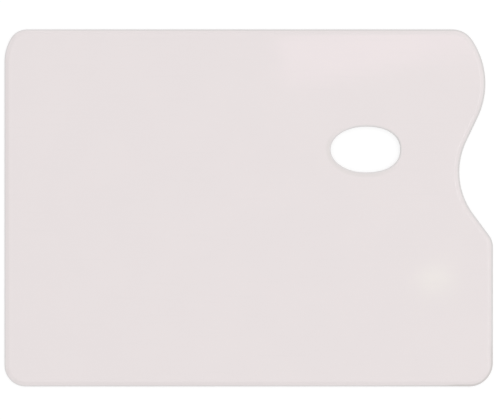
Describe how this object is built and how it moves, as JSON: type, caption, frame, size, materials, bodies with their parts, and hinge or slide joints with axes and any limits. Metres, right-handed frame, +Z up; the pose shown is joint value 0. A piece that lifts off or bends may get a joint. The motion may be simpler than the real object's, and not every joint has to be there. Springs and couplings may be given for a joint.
{
  "type": "hand-held mixing palette",
  "caption": "Flat hand-held paint mixing palette: a round-cornered white plastic sheet with an oval thumb hole and a finger scoop in the edge beside it.",
  "frame": {"origin": "middle of the sheet's bounding rectangle, on the underside that it rests on", "axes": "+X along the long side towards the grip end with the scoop, +Y across towards the far edge, +Z up out of the mixing face"},
  "size_m": [0.3, 0.2194, 0.003],
  "materials": {
    "white_acrylic": "glossy opal white sheet; the outer edge is scraped to a shallow bevel, and its rims are rounded and polished"
  },
  "bodies": {
    "root": {"palette_board": "white_acrylic"}
  },
  "joints": []
}
